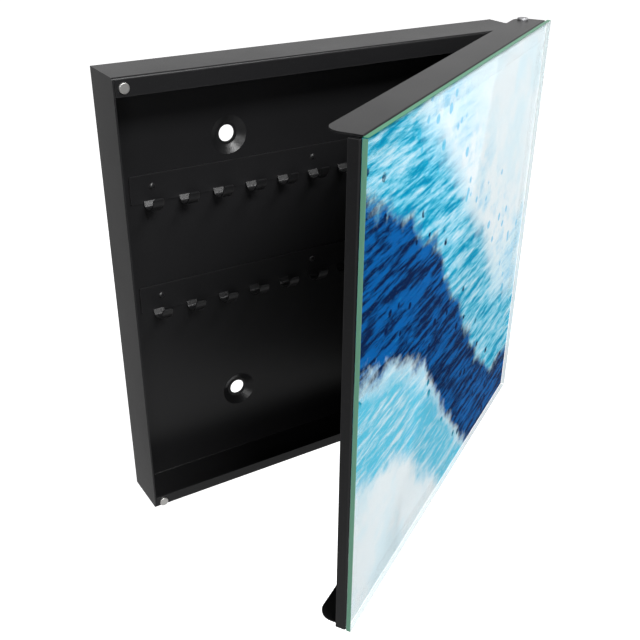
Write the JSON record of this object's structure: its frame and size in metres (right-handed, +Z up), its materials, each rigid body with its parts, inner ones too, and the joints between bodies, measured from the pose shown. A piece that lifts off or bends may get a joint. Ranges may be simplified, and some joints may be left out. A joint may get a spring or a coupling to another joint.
{
  "type": "magnetic key holder box",
  "caption": "Wall key box: a shallow folded-steel case with rows of hooks behind a glass-fronted door, hinged at the right and held shut by magnets.",
  "frame": {"origin": "on the wall plane, at the centre of the wall holes", "axes": "+X right along the wall, +Y into the wall, +Z up; the door's glass faces the room, towards -Y, when it is shut"},
  "size_m": [0.3281, 0.2071, 0.307],
  "materials": {
    "graphite_paint": "fine satin powder coat",
    "magnet_nickel": "satin nickel",
    "clear_glass": "polished, green at the edge",
    "print_colours": "printed film",
    "black_tape": "foam tape",
    "hinge_steel": "zinc-plated",
    "washer_plastic": "black nylon"
  },
  "bodies": {
    "case": {"case_shell": "graphite_paint", "upper_hook_rail": "graphite_paint", "lower_hook_rail": "graphite_paint", "upper_rail_rivets": "graphite_paint", "lower_rail_rivets": "graphite_paint", "upper_magnet": "magnet_nickel", "lower_magnet": "magnet_nickel", "upper_hinge_pin": "hinge_steel", "lower_hinge_pin": "hinge_steel", "upper_hinge_washer": "washer_plastic", "lower_hinge_washer": "washer_plastic", "upper_hinge_retainer": "hinge_steel", "lower_hinge_retainer": "hinge_steel"},
    "door": {"door_panel": "graphite_paint", "glass_pane": "clear_glass", "print_film": "print_colours", "tape_top": "black_tape", "tape_bottom": "black_tape", "tape_hinge_side": "black_tape", "tape_free_side": "black_tape"}
  },
  "joints": [
    {"name": "door_hinge", "type": "hinge", "parent": "case", "child": "door", "pos_m": [0.161, -0.02703, 0], "axis": [0, 0, 1], "range_deg": [-31.81, 148.19]}
  ]
}
